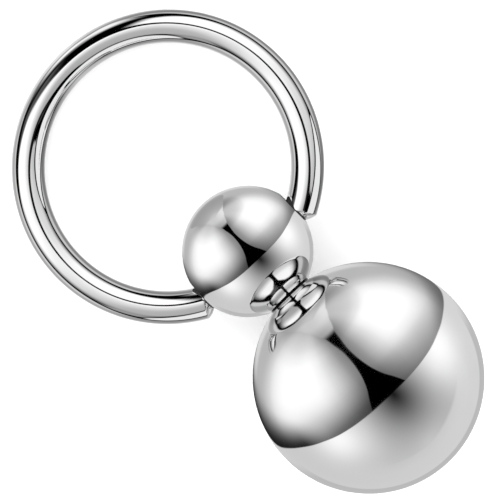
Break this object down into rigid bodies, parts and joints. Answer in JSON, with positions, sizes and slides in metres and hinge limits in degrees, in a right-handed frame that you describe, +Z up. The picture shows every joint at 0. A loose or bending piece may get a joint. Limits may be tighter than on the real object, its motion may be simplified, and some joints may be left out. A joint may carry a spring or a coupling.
{
  "type": "captive bead ring",
  "caption": "Polished steel captive bead ring with a large drop ball that swings from the bead.",
  "frame": {"origin": "middle of the outline seen from above, on the surface that the part rests on", "axes": "+X from the far side of the ring towards the drop ball, +Y along the hinge across the ring, +Z up"},
  "size_m": [0.0266, 0.0152, 0.011],
  "materials": {
    "wire_steel": "mirror polished",
    "ball_steel": "mirror polished",
    "post_steel": "turned"
  },
  "bodies": {
    "ring": {"wire_ring": "wire_steel"},
    "drop": {"captive_bead": "ball_steel", "joining_post": "post_steel", "drop_ball": "ball_steel"}
  },
  "joints": [
    {"name": "bead_swing", "type": "hinge", "parent": "ring", "child": "drop", "pos_m": [-0.00033, 0, 0.00362], "axis": [0, -1, 0], "range_deg": [-150, 150]}
  ]
}
